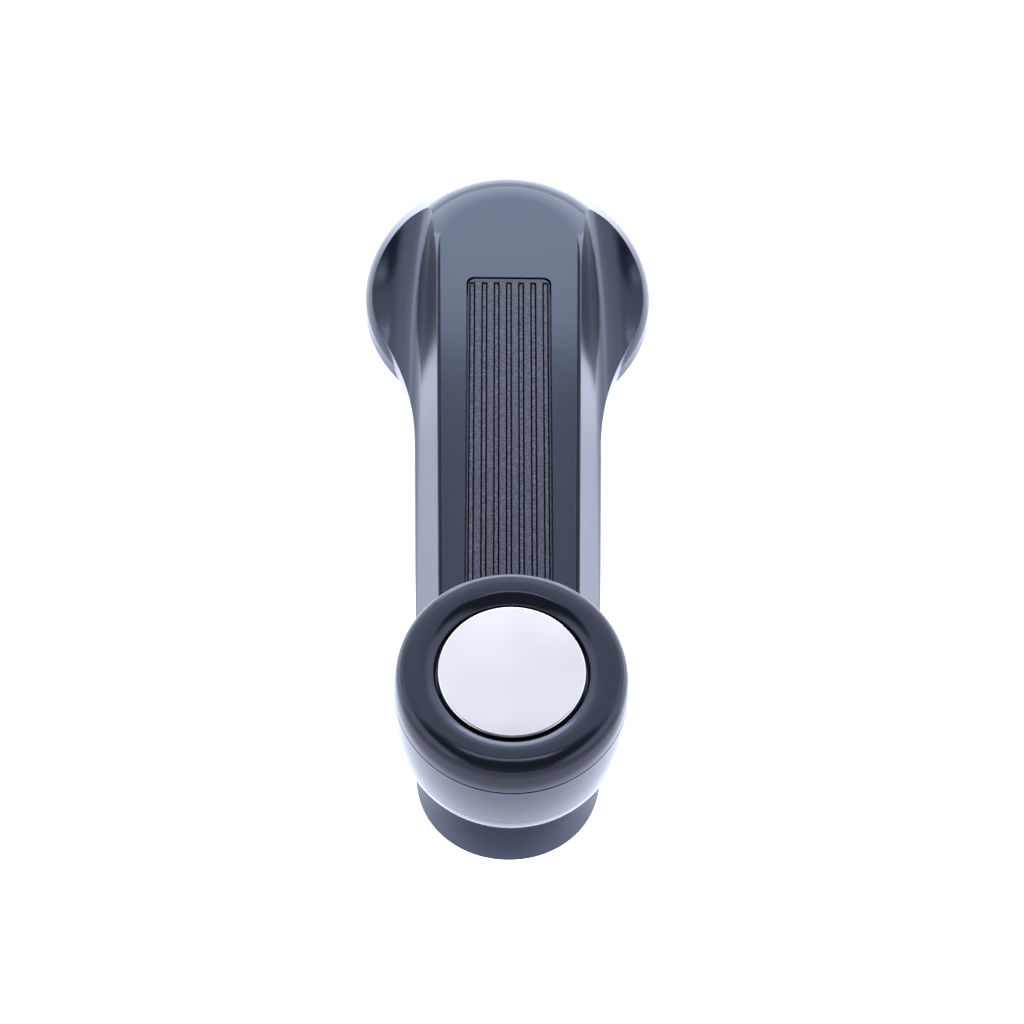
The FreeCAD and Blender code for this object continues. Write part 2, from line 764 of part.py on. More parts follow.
hub_bush = lathe("hub_bush", [
    (0, D.bush_low),
    (D.bush_body_radius, D.bush_low),
    (D.bush_body_radius, D.bush_flange_low),
    (D.bush_flange_radius, D.bush_flange_low),
    (D.bush_flange_radius, D.strap_hub_low),
    (D.bush_top_radius, D.strap_hub_low),
    (D.bush_top_radius, D.bush_top),
    (0, D.bush_top),
])
flats = new_sketch(hub_bush, "drive_flats_plan", "XY_Plane", D.strap_hub_low)
for side in (-1, 1):
    near = side * D.bush_flat_half
    far = Size.of(side * 12)
    left, right = (near, far) if side > 0 else (far, near)
    rectangle(flats, left, -12, right, 12)
pocket(hub_bush, "drive_flats", flats, D.strap_thickness, Reversed=True)
teeth = new_sketch(hub_bush, "serration_plan", "XY_Plane", D.bush_low)
serration(teeth)
pocket(hub_bush, "serrations", teeth, D.serration_end - D.bush_low, Reversed=True)
pilot = new_sketch(hub_bush, "pilot_plan", "XY_Plane", D.serration_end)
circle(pilot, 0, 0, D.pilot_radius)
pocket(hub_bush, "pilot", pilot, D.pilot_end - D.serration_end, Reversed=True)
clip_slots = new_sketch(hub_bush, "clip_slots_plan", "XY_Plane", D.clip_low - 0.1)
for side in (-1, 1):
    near = side * D.clip_slot_half
    far = Size.of(side * 12)
    left, right = (near, far) if side > 0 else (far, near)
    rectangle(clip_slots, left, -12, right, 12)
pocket(hub_bush, "clip_slots", clip_slots, D.clip_thickness + 0.2, Reversed=True)

spindle_clip = new_body("spindle_clip")
clip_plan = new_sketch(spindle_clip, "clip_plan", "XY_Plane", D.clip_low)
inner = D.clip_inner_half
outer = D.clip_inner_half + D.clip_width
bend_y = Size.of(6.4)
leg_end = Size.of(-8.6)
flare_out = 1.2
outline(clip_plan, [
    (outer + flare_out, leg_end - 2.0),
    (outer, leg_end),
    (outer, bend_y, outer),
    (-outer, bend_y),
    (-outer, leg_end),
    (-outer - flare_out, leg_end - 2.0),
    (-outer - flare_out + 1.6, leg_end - 2.4),
    (-inner, leg_end),
    (-inner, bend_y, -inner),
    (inner, bend_y),
    (inner, leg_end),
    (outer + flare_out - 1.6, leg_end - 2.4),
])
pad(spindle_clip, "clip_sheet", clip_plan, D.clip_thickness)

WEAR_THICKNESS = 1.3
wear_ring = lathe("wear_ring", [
    (15.2, 0),
    (D.rim_radius - 2.7, 0),
    (D.rim_radius - 2.55, 0.15),
    (D.rim_radius - 2.55, WEAR_THICKNESS),
    (15.0, WEAR_THICKNESS),
    (15.0, 0.2),
])

# ---------------------------------------------------------------- core strap and its screws

core_strap = new_body("core_strap")
strap_side = new_sketch(core_strap, "strap_side_outline", "YZ_Plane")
hub_low = D.strap_hub_low
knob_low_face = D.strap_knob_low
strap_ends = (D.strap_ring_radius, -(D.crank_throw + 7.5))
outline(strap_side, [
    (strap_ends[0], hub_low),
    (strap_ends[0], hub_low + D.strap_thickness),
    (-D.strap_hub_flat, hub_low + D.strap_thickness),
    (-D.strap_knob_flat, knob_low_face + D.strap_thickness),
    (strap_ends[1], knob_low_face + D.strap_thickness),
    (strap_ends[1], knob_low_face),
    (-D.strap_knob_flat, knob_low_face),
    (-D.strap_hub_flat, hub_low),
])
pad(core_strap, "strap_sheet", strap_side, 2 * D.strap_ring_radius, side="Symmetric")
strap_trim = new_sketch(core_strap, "strap_trim_plan", "XY_Plane", 0)
trim_half = D.strap_half
trim_start = Size.of(-9.8)
knob_ring = Size.of(7.4)
outline(strap_trim, [
    (-trim_half, trim_start),
    (-trim_half, KNOB_Y + 5.9),
    (-30, KNOB_Y + 5.9),
    (-30, trim_start),
])
outline(strap_trim, [
    (trim_half, trim_start),
    (trim_half, KNOB_Y + 5.9),
    (30, KNOB_Y + 5.9),
    (30, trim_start),
])
pocket(core_strap, "strap_waist", strap_trim, ABOVE, Reversed=True)
strap_round = new_sketch(core_strap, "strap_ends_plan", "XY_Plane", 0)
rectangle(strap_round, -30, -120, 30, 30)
outline(strap_round, [
    (D.strap_ring_radius, 0, D.strap_ring_radius),
    (-D.strap_ring_radius, 0),
    (-D.strap_ring_radius, -D.strap_hub_flat),
    (-knob_ring, -D.strap_hub_flat),
    (-knob_ring, KNOB_Y, knob_ring),
    (knob_ring, KNOB_Y),
    (knob_ring, -D.strap_hub_flat),
    (D.strap_ring_radius, -D.strap_hub_flat),
])
pocket(core_strap, "strap_ends", strap_round, ABOVE, Reversed=True)
strap_holes = new_sketch(core_strap, "strap_holes_plan", "XY_Plane", 0)
circle(strap_holes, 0, KNOB_Y, D.spindle_radius + FIT_GAP)
circle(strap_holes, 0, -D.screw_hub, 1.6)
circle(strap_holes, 0, -D.screw_knob, 1.6)
half_flat = D.bush_flat_half + FIT_GAP
drive_radius = D.bush_top_radius + FIT_GAP
flat_reach = math.sqrt(drive_radius.value ** 2 - half_flat.value ** 2)
outline(strap_holes, [
    (half_flat, -flat_reach),
    (half_flat, flat_reach, drive_radius),
    (-half_flat, flat_reach),
    (-half_flat, -flat_reach, drive_radius),
])
pocket(core_strap, "strap_holes", strap_holes, ABOVE, Reversed=True)

SCREW_HEAD_RADIUS = 2.8
SCREW_HEAD_HEIGHT = 1.7


def pan_screw(name, y, seat, tip):
    """Pan-head screw driven upwards: its head sits under the strap."""
    body = new_body(name)
    sketch = new_sketch(body, name + "_outline", "XZ_Plane")
    low = seat - SCREW_HEAD_HEIGHT
    outline(sketch, [
        (0, low),
        (1.7, low, 1.8),
        (SCREW_HEAD_RADIUS, seat - 0.5),
        (SCREW_HEAD_RADIUS, seat),
        (SCREW_CORE, seat),
        (SCREW_CORE, tip - 0.9),
        (0.3, tip),
        (0, tip),
    ])
    turned(body, name + "_turned", sketch)
    recess = new_sketch(body, name + "_recess_plan", "XY_Plane", low)
    wide, thin = 1.5, 0.3
    outline(recess, [
        (thin, thin), (wide, thin), (wide, -thin), (thin, -thin), (thin, -wide), (-thin, -wide),
        (-thin, -thin), (-wide, -thin), (-wide, thin), (-thin, thin), (-thin, wide), (thin, wide),
    ])
    pocket(body, name + "_recess", recess, 0.9, Reversed=True)
    body.setExpression("Placement.Base.y", Size.of(y).text)
    return body


screw_hub = pan_screw("screw_hub_end", -D.screw_hub, D.strap_hub_low, Size.of(HUB_SCREW_TIP))
screw_knob = pan_screw("screw_knob_end", -D.screw_knob, D.strap_knob_low, Size.of(KNOB_SCREW_TIP))
core_screws = doc.addObject("Part::Compound", "core_screws")
core_screws.Links = [screw_hub, screw_knob]
core_screws.Label = "core_screws"

# ---------------------------------------------------------------- knob spindle and its washers

WASHER_BORE = D.spindle_radius + 0.12
SPINDLE_TIP = 36.9
rivet_low = D.strap_knob_low - 1.5
knob_spindle = lathe("knob_spindle", [
    (0, rivet_low),
    (3.4, rivet_low, 1.6),
    (4.6, D.strap_knob_low),
    (D.spindle_radius, D.strap_knob_low),
    (D.spindle_radius, D.strap_knob_low + D.strap_thickness),
    (D.spindle_radius + 1.5, D.strap_knob_low + D.strap_thickness),
    (D.spindle_radius + 1.5, D.seat_height),
    (D.spindle_radius, D.seat_height),
    (D.spindle_radius, SPINDLE_TIP - 0.6),
    (D.spindle_radius - 0.6, SPINDLE_TIP),
    (0, SPINDLE_TIP),
], KNOB_Y)

thrust_top = D.seat_height + 0.6
thrust_washer = lathe("thrust_washer", [
    (WASHER_BORE, D.seat_height),
    (7.2, D.seat_height),
    (7.2, thrust_top),
    (WASHER_BORE, thrust_top),
], KNOB_Y)


def wave_ring(low, inner_radius, outer_radius, thickness, height):
    """Three-wave spring washer: thin flat ring whose middle line rises and falls by height."""
    turns = 48
    rings = []
    for radius, lift in ((inner_radius, 0), (outer_radius, 0), (outer_radius, thickness),
                         (inner_radius, thickness)):
        points = []
        for n in range(turns):
            angle = 2 * math.pi * n / turns
            z = low + lift + height * (1 + math.cos(3 * angle)) / 2
            points.append(V(radius * math.cos(angle), radius * math.sin(angle), z))
        curve = Part.BSplineCurve()
        curve.interpolate(points, PeriodicFlag=True)
        rings.append(Part.Wire([curve.toShape()]))
    faces = [Part.makeRuledSurface(rings[n], rings[(n + 1) % 4]) for n in range(4)]
    shell = Part.Shell([face for ruled in faces for face in ruled.Faces])
    solid = Part.Solid(shell)
    if solid.Volume < 0:
        solid.reverse()
    return solid


wave_washer = doc.addObject("Part::Feature", "wave_washer")
wave_washer.Shape = wave_ring(thrust_top.value + 0.01, 3.3, 6.2, 0.3, 0.5)
wave_washer.Placement = FreeCAD.Placement(V(0, KNOB_Y.value, 0), FreeCAD.Rotation())

BUSH_OUTER = Size.of(4.6)
BUSH_FLANGE_LOW = Size.of(33.4)
BUSH_FLANGE_TOP = BUSH_FLANGE_LOW + 1.0
knob_bush = lathe("knob_bush", [
    (D.spindle_radius + D.bush_clearance, D.knob_low),
    (BUSH_OUTER, D.knob_low),
    (BUSH_OUTER, BUSH_FLANGE_LOW),
    (6.4, BUSH_FLANGE_LOW),
    (6.4, BUSH_FLANGE_TOP),
    (D.spindle_radius + D.bush_clearance, BUSH_FLANGE_TOP),
], KNOB_Y)

WASHER_LOW = BUSH_FLANGE_TOP + 0.1
spindle_washer = lathe("spindle_washer", [
    (WASHER_BORE, WASHER_LOW),
    (6.0, WASHER_LOW),
    (6.0, WASHER_LOW + 0.7),
    (WASHER_BORE, WASHER_LOW + 0.7),
], KNOB_Y)

CLIP_LOW = WASHER_LOW + 0.7
push_on_clip = lathe("push_on_clip", [
    (3.9, CLIP_LOW),
    (5.4, CLIP_LOW),
    (5.4, CLIP_LOW + 0.4),
    (4.1, CLIP_LOW + 0.4),
    (D.spindle_radius + 0.02, CLIP_LOW + 0.9),
    (D.spindle_radius + 0.02, CLIP_LOW + 0.55),
], KNOB_Y)
tooth_gaps = new_sketch(push_on_clip, "tooth_gaps_plan", "XY_Plane", 30)
TEETH = 6
for n in range(TEETH):
    angle = 2 * math.pi * n / TEETH
    circle(tooth_gaps, 3.6 * math.cos(angle), 3.6 * math.sin(angle), 0.55)
pocket(push_on_clip, "tooth_gaps", tooth_gaps, 12, Reversed=True)

# ---------------------------------------------------------------- knob

LAP_RADIUS = Size.of(14.1)
LAP_LOW = D.knob_equator - 2.4
SEAM = 0.06
SEAM_EDGE = 0.15
knob_lower = lathe("knob_lower", [
    (BUSH_OUTER + FIT_GAP, D.knob_low),
    (12.6, D.knob_low, 1.7),
    (14.13, 22.1, 12),
    (15.63, 26.5, 60),
    (D.knob_radius, 34.0),
    (D.knob_radius, D.knob_equator - SEAM_EDGE - SEAM / 2),
    (D.knob_radius - SEAM_EDGE, D.knob_equator - SEAM / 2),
    (LAP_RADIUS + FIT_GAP, D.knob_equator - SEAM / 2),
    (LAP_RADIUS + FIT_GAP, LAP_LOW),
    (13.3, LAP_LOW - 0.9),
    (12.4, 25.8),
    (10.6, 23.5),
    (6.6, 23.5),
    (6.6, BUSH_FLANGE_LOW),
    (BUSH_OUTER + FIT_GAP, BUSH_FLANGE_LOW),
], KNOB_Y)

CAP_GAP = 0.3
seat_radius = D.cap_radius + CAP_GAP
roof_under = D.cap_seat - 1.8
knob_upper = lathe("knob_upper", [
    (0, roof_under),
    (12.2, roof_under),
    (12.9, roof_under - 1.0),
    (12.9, LAP_LOW + 0.1),
    (LAP_RADIUS, LAP_LOW + 0.1),
    (LAP_RADIUS, D.knob_equator + SEAM / 2),
    (D.knob_radius - SEAM_EDGE, D.knob_equator + SEAM / 2),
    (D.knob_radius, D.knob_equator + SEAM_EDGE + SEAM / 2, 20),
    (15.8, 40.25, 2.6),
    (15.37, 41.29, 1.3),
    (14.64, 41.8, 7.1),
    (12.8, 42.04, 3.5),
    (10.7, 41.34),
    (seat_radius, 41.0),
    (seat_radius, D.cap_seat),
    (0, D.cap_seat),
], KNOB_Y)

cap_adhesive = lathe("cap_adhesive", [
    (0, D.cap_seat),
    (9.2, D.cap_seat),
    (9.2, D.cap_seat + D.adhesive_thickness),
    (0, D.cap_seat + D.adhesive_thickness),
], KNOB_Y)

cap_low = D.cap_seat + D.adhesive_thickness
dome_foot = D.cap_radius - 0.28
dome_rise = Size.of(0.53)
dome_radius = (dome_foot * dome_foot + dome_rise * dome_rise) / (2 * dome_rise)
knob_cap = lathe("knob_cap", [
    (0, cap_low),
    (D.cap_radius - 0.15, cap_low),
    (D.cap_radius, cap_low + 0.15),
    (D.cap_radius, cap_low + 0.9, 0.35),
    (dome_foot, cap_low + 1.22, dome_radius),
    (0, cap_low + 1.22 + dome_rise),
], KNOB_Y)

# ---------------------------------------------------------------- checks and STEP files

SUBPARTS = [
    arm_shell, trim_strip, core_strap, core_screws, hub_bush, spindle_clip, wear_ring,
    knob_spindle, thrust_washer, wave_washer, spindle_washer, push_on_clip,
    knob_lower, knob_upper, knob_bush, cap_adhesive, knob_cap,
]

doc.recompute()
failed = [item.Name for item in doc.Objects if {"Invalid", "Error"} & set(item.State)]
if failed:
    raise RuntimeError("failed objects: %s" % failed)
for subpart in SUBPARTS:
    shape = subpart.Shape
    if shape.isNull() or not shape.isValid():
        raise RuntimeError("bad shape: %s" % subpart.Label)
    print("%-16s solids %d volume %.1f" % (subpart.Label, len(shape.Solids), shape.Volume))
for subpart in SUBPARTS:
    subpart.Shape.exportStep(os.path.join("parts", subpart.Label + ".step"))
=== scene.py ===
import math

import bpy
from mathutils import Matrix, Vector


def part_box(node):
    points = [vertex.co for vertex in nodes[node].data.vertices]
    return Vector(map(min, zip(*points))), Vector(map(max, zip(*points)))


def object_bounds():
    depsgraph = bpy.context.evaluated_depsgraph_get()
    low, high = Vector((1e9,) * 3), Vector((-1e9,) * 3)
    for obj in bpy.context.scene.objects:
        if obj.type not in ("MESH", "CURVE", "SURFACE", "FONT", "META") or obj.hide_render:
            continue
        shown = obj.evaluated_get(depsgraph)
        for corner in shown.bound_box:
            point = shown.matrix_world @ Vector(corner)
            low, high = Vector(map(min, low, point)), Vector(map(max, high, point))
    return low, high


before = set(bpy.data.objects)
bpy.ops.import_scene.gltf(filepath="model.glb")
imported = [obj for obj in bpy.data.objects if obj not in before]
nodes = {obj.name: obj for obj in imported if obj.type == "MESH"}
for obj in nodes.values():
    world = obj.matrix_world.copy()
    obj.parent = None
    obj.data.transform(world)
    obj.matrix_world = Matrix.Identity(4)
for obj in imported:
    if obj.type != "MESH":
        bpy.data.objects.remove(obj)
cad_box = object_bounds()

MM = 0.001
cap_low, cap_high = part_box("knob_cap")
knob_axis = ((cap_low[0] + cap_high[0]) / 2, (cap_low[1] + cap_high[1]) / 2, 0)

# ---------------------------------------------------------------- camera

CAMERA_TURN = math.radians(1.7)    # the camera stands a little to the left of the arm's line
CAMERA_ELEVATION = math.radians(58.5)
CAMERA_FOV = math.radians(16.0)
CAMERA_DEPTH = 575.5 * MM          # along the view, from the camera to the hub's seat
HUB_ABOVE_AXIS = 32.7 * MM         # how far the hub lies above the view's centre line
HUB_RIGHT_OF_AXIS = -0.75 * MM


def add_camera():
    data = bpy.data.cameras.new("camera")
    data.angle = CAMERA_FOV
    camera = bpy.data.objects.new("camera", data)
    bpy.context.scene.collection.objects.link(camera)
    flat = math.cos(CAMERA_ELEVATION)
    forward = Vector((math.sin(CAMERA_TURN) * flat, math.cos(CAMERA_TURN) * flat,
                      -math.sin(CAMERA_ELEVATION)))
    level = Vector((math.cos(CAMERA_TURN), -math.sin(CAMERA_TURN), 0))
    raised = level.cross(forward)
    # a small roll keeps the arm upright in the picture
    roll = math.atan2(math.tan(CAMERA_TURN), math.sin(CAMERA_ELEVATION))
    right = level * math.cos(roll) + raised * math.sin(roll)
    up = raised * math.cos(roll) - level * math.sin(roll)
    camera.location = -forward * CAMERA_DEPTH - up * HUB_ABOVE_AXIS - right * HUB_RIGHT_OF_AXIS
    camera.rotation_euler = Matrix((right, up, -forward)).transposed().to_euler()
    bpy.context.scene.camera = camera


def set_view():
    view = bpy.context.scene.view_settings
    view.view_transform = "Standard"
    view.look = "None"


# ---------------------------------------------------------------- node helpers


def colour(red, green, blue):
    return (red, green, blue, 1.0)


def new_tree(owner):
    owner.use_nodes = True
    owner.node_tree.nodes.clear()
    return owner.node_tree


def add(tree, kind, inputs=None, **settings):
    """A new node. An input is either another node's output or a plain value."""
    node = tree.nodes.new(kind)
    for key, value in settings.items():
        setattr(node, key, value)
    for key, value in (inputs or {}).items():
        socket = node.inputs[key]
        if isinstance(value, bpy.types.NodeSocket):
            tree.links.new(value, socket)
        else:
            socket.default_value = value
    return node


def calc(tree, operation, *values, clamp=False):
    inputs = dict(enumerate(values))
    return add(tree, "ShaderNodeMath", inputs, operation=operation, use_clamp=clamp).outputs[0]


def plus(tree, first, *others):
    for other in others:
        first = calc(tree, "ADD", first, other)
    return first


def times(tree, first, *others):
    for other in others:
        first = calc(tree, "MULTIPLY", first, other)
    return first


def around(tree, middle, noise, swing):
    """middle, changed by up to half of swing either way as the noise goes from 0 to 1."""
    return plus(tree, middle, times(tree, calc(tree, "SUBTRACT", noise, 0.5), swing))


def vector_calc(tree, operation, *values):
    return add(tree, "ShaderNodeVectorMath", dict(enumerate(values)), operation=operation).outputs


def stretched(tree, place, scale):
    """The place with each axis multiplied by its own number."""
    return vector_calc(tree, "MULTIPLY", place, scale)["Vector"]


def split(tree, place):
    return add(tree, "ShaderNodeSeparateXYZ", {0: place}).outputs


def ramp_up(tree, value, low, high):
    """0 at low, 1 at high and smooth between. It falls if low is the larger of the two."""
    inputs = {0: value, 1: low, 2: high}
    return add(tree, "ShaderNodeMapRange", inputs, interpolation_type="SMOOTHSTEP").outputs[0]


def blend(tree, factor, start, end):
    """A number between start and end."""
    return add(tree, "ShaderNodeMix", {0: factor, 2: start, 3: end}, data_type="FLOAT").outputs[0]


def tint(tree, factor, start, end):
    """A colour between start and end."""
    return add(tree, "ShaderNodeMix", {0: factor, 6: start, 7: end}, data_type="RGBA").outputs[2]


def levels(tree, value, stops):
    """A number that runs in straight lines through (place, level) stops, from place 0 to 1."""
    highest = max(level for _, level in stops)
    node = add(tree, "ShaderNodeValToRGB", {0: value})
    elements = node.color_ramp.elements
    for place, _ in stops[1:-1]:
        elements.new(place)
    for element, (_, level) in zip(elements, stops):
        shade = level / highest
        element.color = colour(shade, shade, shade)
    return times(tree, node.outputs[0], highest)


def grain(tree, place, size, detail=3.0, rough=0.55):
    """Noise from 0 to 1 whose features are about size across."""
    inputs = {"Vector": place, "Scale": 1 / size, "Detail": detail, "Roughness": rough}
    return add(tree, "ShaderNodeTexNoise", inputs).outputs[0]


def cells(tree, place, size):
    """Distance from the middle of the nearest of many small cells, each about size across."""
    inputs = {"Vector": place, "Scale": 1 / size}
    return add(tree, "ShaderNodeTexVoronoi", inputs).outputs["Distance"]


def new_material(name):
    """An empty material, its tree, and the place on the object, in metres."""
    material = bpy.data.materials.new(name)
    tree = new_tree(material)
    return material, tree, add(tree, "ShaderNodeTexCoord").outputs["Object"]


# ---------------------------------------------------------------- studio

TENT_TINT = colour(0.93, 0.96, 1.08)
# the tent's level at angles in degrees, from the horizon behind the object, over the top, to the
# horizon in front of it
TENT_ARCH = [(0, 2.6), (42, 2.3), (46, 1.75), (50, 1.6), (56, 1.40), (73, 1.42), (76, 0.2),
             (85, 0.12), (120, 0.2), (180, 0.5)]
TENT_SIDE = 2.0                    # the level of its two sides
TENT_SIDE_ZONE = (0.42, 0.75)      # where the arch gives way to a side, as the view's x
TENT_FOLD_STRETCH = (1.0, 0.5, 1.0)
TENT_FOLD_SIZE = 0.16
TENT_FOLD_SWING = 0.4              # how much the folds of the cloth change the level
STRIP_LIGHT = 4.0                  # a narrow light on the arch, for the thin highlights
STRIP_LIGHT_TURN = (0.428, 0.452)  # where it lies, as parts of the half turn over the top
STRIP_LIGHT_REACH = (0.12, 0.20)   # where it ends to the left and right, as the view's x
STRIP_LIGHT_BLUR = 0.003


def add_tent():
    """A white tent: bright at both sides and behind, dim overhead and on the camera's side."""
    world = bpy.data.worlds.new("tent")
    bpy.context.scene.world = world
    tree = new_tree(world)
    direction = add(tree, "ShaderNodeTexCoord").outputs["Generated"]
    x, y, z = split(tree, direction)
    aside = calc(tree, "ABSOLUTE", x)
    turn = calc(tree, "DIVIDE", calc(tree, "ARCTAN2", z, y), math.pi, clamp=True)
    arch = levels(tree, turn, [(angle / 180, level) for angle, level in TENT_ARCH])
    level = blend(tree, ramp_up(tree, aside, *TENT_SIDE_ZONE), arch, TENT_SIDE)
    folds = grain(tree, stretched(tree, direction, TENT_FOLD_STRETCH), TENT_FOLD_SIZE,
                  detail=2.0, rough=0.5)
    level = times(tree, level, around(tree, 1.0, folds, TENT_FOLD_SWING))
    back, front = STRIP_LIGHT_TURN
    inner, outer = STRIP_LIGHT_REACH
    narrow = times(tree, ramp_up(tree, turn, back, back + STRIP_LIGHT_BLUR),
                   ramp_up(tree, turn, front + STRIP_LIGHT_BLUR, front),
                   ramp_up(tree, aside, outer, inner))
    level = plus(tree, level, times(tree, narrow, STRIP_LIGHT))
    shade = add(tree, "ShaderNodeBackground", {"Color": TENT_TINT, "Strength": level})
    output = add(tree, "ShaderNodeOutputWorld")
    tree.links.new(shade.outputs[0], output.inputs[0])


HEAD_LIGHT_LEVEL = 3.0
HEAD_LIGHT_SIZE = (150 * MM, 108 * MM)
HEAD_LIGHT_PLACE = (0, 104 * MM, 84 * MM)
HEAD_LIGHT_AIM = (0, 0, 16 * MM)


def add_head_light():
    """A soft box behind the head, seen only in the crown of the head and the panel's end."""
    data = bpy.data.lights.new("head_soft_box", "AREA")
    data.shape = "RECTANGLE"
    data.size, data.size_y = HEAD_LIGHT_SIZE
    data.color = TENT_TINT[:3]
    data.energy = HEAD_LIGHT_LEVEL * math.pi * data.size * data.size_y
    light = bpy.data.objects.new("head_soft_box", data)
    light.location = HEAD_LIGHT_PLACE
    aim = Vector(HEAD_LIGHT_AIM) - light.location
    light.rotation_euler = aim.to_track_quat("-Z", "Y").to_euler()
    light.visible_camera = False
    bpy.context.scene.collection.objects.link(light)


FLOOR_TINT = colour(1.0, 1.05, 1.26)
FLOOR_HALF = 3.0                   # metres from its middle to each edge
FLOOR_GAP = 0.2 * MM               # left under the object
FLOOR_FRONT = 1.0                  # the floor's levels
FLOOR_BELOW_KNOB = 2.1
FLOOR_SIDES = 1.65
FLOOR_BEHIND = 3.0
FLOOR_HUB = 2.0
KNOB_ZONE = (32 * MM, 44 * MM)     # from the knob's axis
SIDE_ZONE = (14 * MM, 22 * MM)     # from the arm's middle, to either side
SIDE_START = (-92 * MM, -66 * MM)  # along the arm, from the knob's end
BEHIND_ZONE = (12 * MM, 34 * MM)   # along the arm's line, behind the hub's axis
HUB_ZONE = (24 * MM, 33 * MM)      # from the hub's axis


def add_floor():
    """A white floor that glows as if lit from behind, and less where the hub shades it."""
    low = cad_box[0][2] - FLOOR_GAP
    corners = [(side * FLOOR_HALF, end * FLOOR_HALF, low)
               for side, end in ((-1, -1), (1, -1), (1, 1), (-1, 1))]
    mesh = bpy.data.meshes.new("floor")
    mesh.from_pydata(corners, [], [(0, 1, 2, 3)])
    floor = bpy.data.objects.new("floor", mesh)
    bpy.context.scene.collection.objects.link(floor)
    material, tree, place = new_material("floor_white")
    x, y, _ = split(tree, place)
    from_knob = vector_calc(tree, "DISTANCE", place, knob_axis)["Value"]
    from_hub = vector_calc(tree, "LENGTH", place)["Value"]
    beside = times(tree, ramp_up(tree, calc(tree, "ABSOLUTE", x), *SIDE_ZONE),
                   ramp_up(tree, y, *SIDE_START))
    level = blend(tree, ramp_up(tree, from_knob, *KNOB_ZONE), FLOOR_BELOW_KNOB, FLOOR_FRONT)
    level = blend(tree, beside, level, FLOOR_SIDES)
    level = blend(tree, ramp_up(tree, y, *BEHIND_ZONE), level, FLOOR_BEHIND)
    level = blend(tree, ramp_up(tree, from_hub, *HUB_ZONE), FLOOR_HUB, level)
    glow = add(tree, "ShaderNodeEmission", {"Color": FLOOR_TINT, "Strength": level})
    output = add(tree, "ShaderNodeOutputMaterial")
    tree.links.new(glow.outputs[0], output.inputs[0])
    mesh.materials.append(material)


# ---------------------------------------------------------------- surface detail

# two sets of hairlines: how the noise is stretched, their spacing, and which crests make a line
HAIRS = ((1, 0.03, 0.3), 0.25 * MM, (0.70, 0.76))
LEANING_HAIRS = ((1, 0.025, 0.3), 0.3 * MM, (0.71, 0.77))
HAIR_LEAN = 0.9                    # radians between the two sets
HAIR_PATCH = 9 * MM
HAIR_PATCH_EDGE = (0.45, 0.7)
EDGE_TURN = (0.01, 0.12)           # how far the surface turns at a rubbed edge


def hairlines(tree, place, stretch, spacing, crests):
    noise = grain(tree, stretched(tree, place, stretch), spacing, detail=2.0)
    return ramp_up(tree, noise, *crests)


def scratches(tree, place, amount):
    """Hairlines along two directions, in patches, and 0 where there is none."""
    turn = {"Vector": place, "Axis": (0, 0, 1), "Angle": HAIR_LEAN}
    leaning = add(tree, "ShaderNodeVectorRotate", turn).outputs[0]
    lines = calc(tree, "MAXIMUM", hairlines(tree, place, *HAIRS),
                 hairlines(tree, leaning, *LEANING_HAIRS))
    patches = ramp_up(tree, grain(tree, place, HAIR_PATCH, detail=2.0), *HAIR_PATCH_EDGE)
    return times(tree, lines, patches, amount)


def soft_normal(tree, radius):
    """The surface's direction with every edge rounded off."""
    return add(tree, "ShaderNodeBevel", {"Radius": radius}, samples=6).outputs[0]


def edge_mask(tree, rounded):
    """1 on an edge, 0 on a smooth face."""
    here = add(tree, "ShaderNodeNewGeometry").outputs["Normal"]
    match = vector_calc(tree, "DOT_PRODUCT", rounded, here)["Value"]
    return ramp_up(tree, calc(tree, "SUBTRACT", 1.0, match), *EDGE_TURN)


def relief(tree, height, depth, normal):
    """The surface's direction with bumps, or with dents where depth is negative."""
    inputs = {"Strength": 1.0, "Distance": depth, "Height": height, "Normal": normal}
    return add(tree, "ShaderNodeBump", inputs).outputs[0]


def finish_material(material, tree, inputs):
    shader = add(tree, "ShaderNodeBsdfPrincipled", inputs)
    output = add(tree, "ShaderNodeOutputMaterial")
    tree.links.new(shader.outputs[0], output.inputs[0])
    return material


# ---------------------------------------------------------------- plastics

PLASTIC_SPEC = colour(0.68, 0.80, 1.0)
PLASTIC_RUBBED = colour(0.05, 0.055, 0.068)
PLASTIC_EDGE = 0.18 * MM
PLASTIC_WEAR = 0.5
PLASTIC_WORN_ROUGH = 0.18          # what wear adds to the roughness
FLOW_SIZE = 11 * MM
FLOW_STRETCH = (1, 0.35, 1)
FLOW_SHADE = 0.8                   # how dark the dark flow marks are
FLOW_ROUGH = 0.10                  # how much flow marks change the roughness
RUBBED_PATCH = 3 * MM
RUBBED_PATCH_EDGE = (0.35, 0.7)
HAIR_SHADE = 0.35
HAIR_DEPTH = 0.004 * MM
PEEL_SIZE = 2.6 * MM
PEEL_DEPTH = 0.010 * MM
SKIN_DEPTH = 0.004 * MM


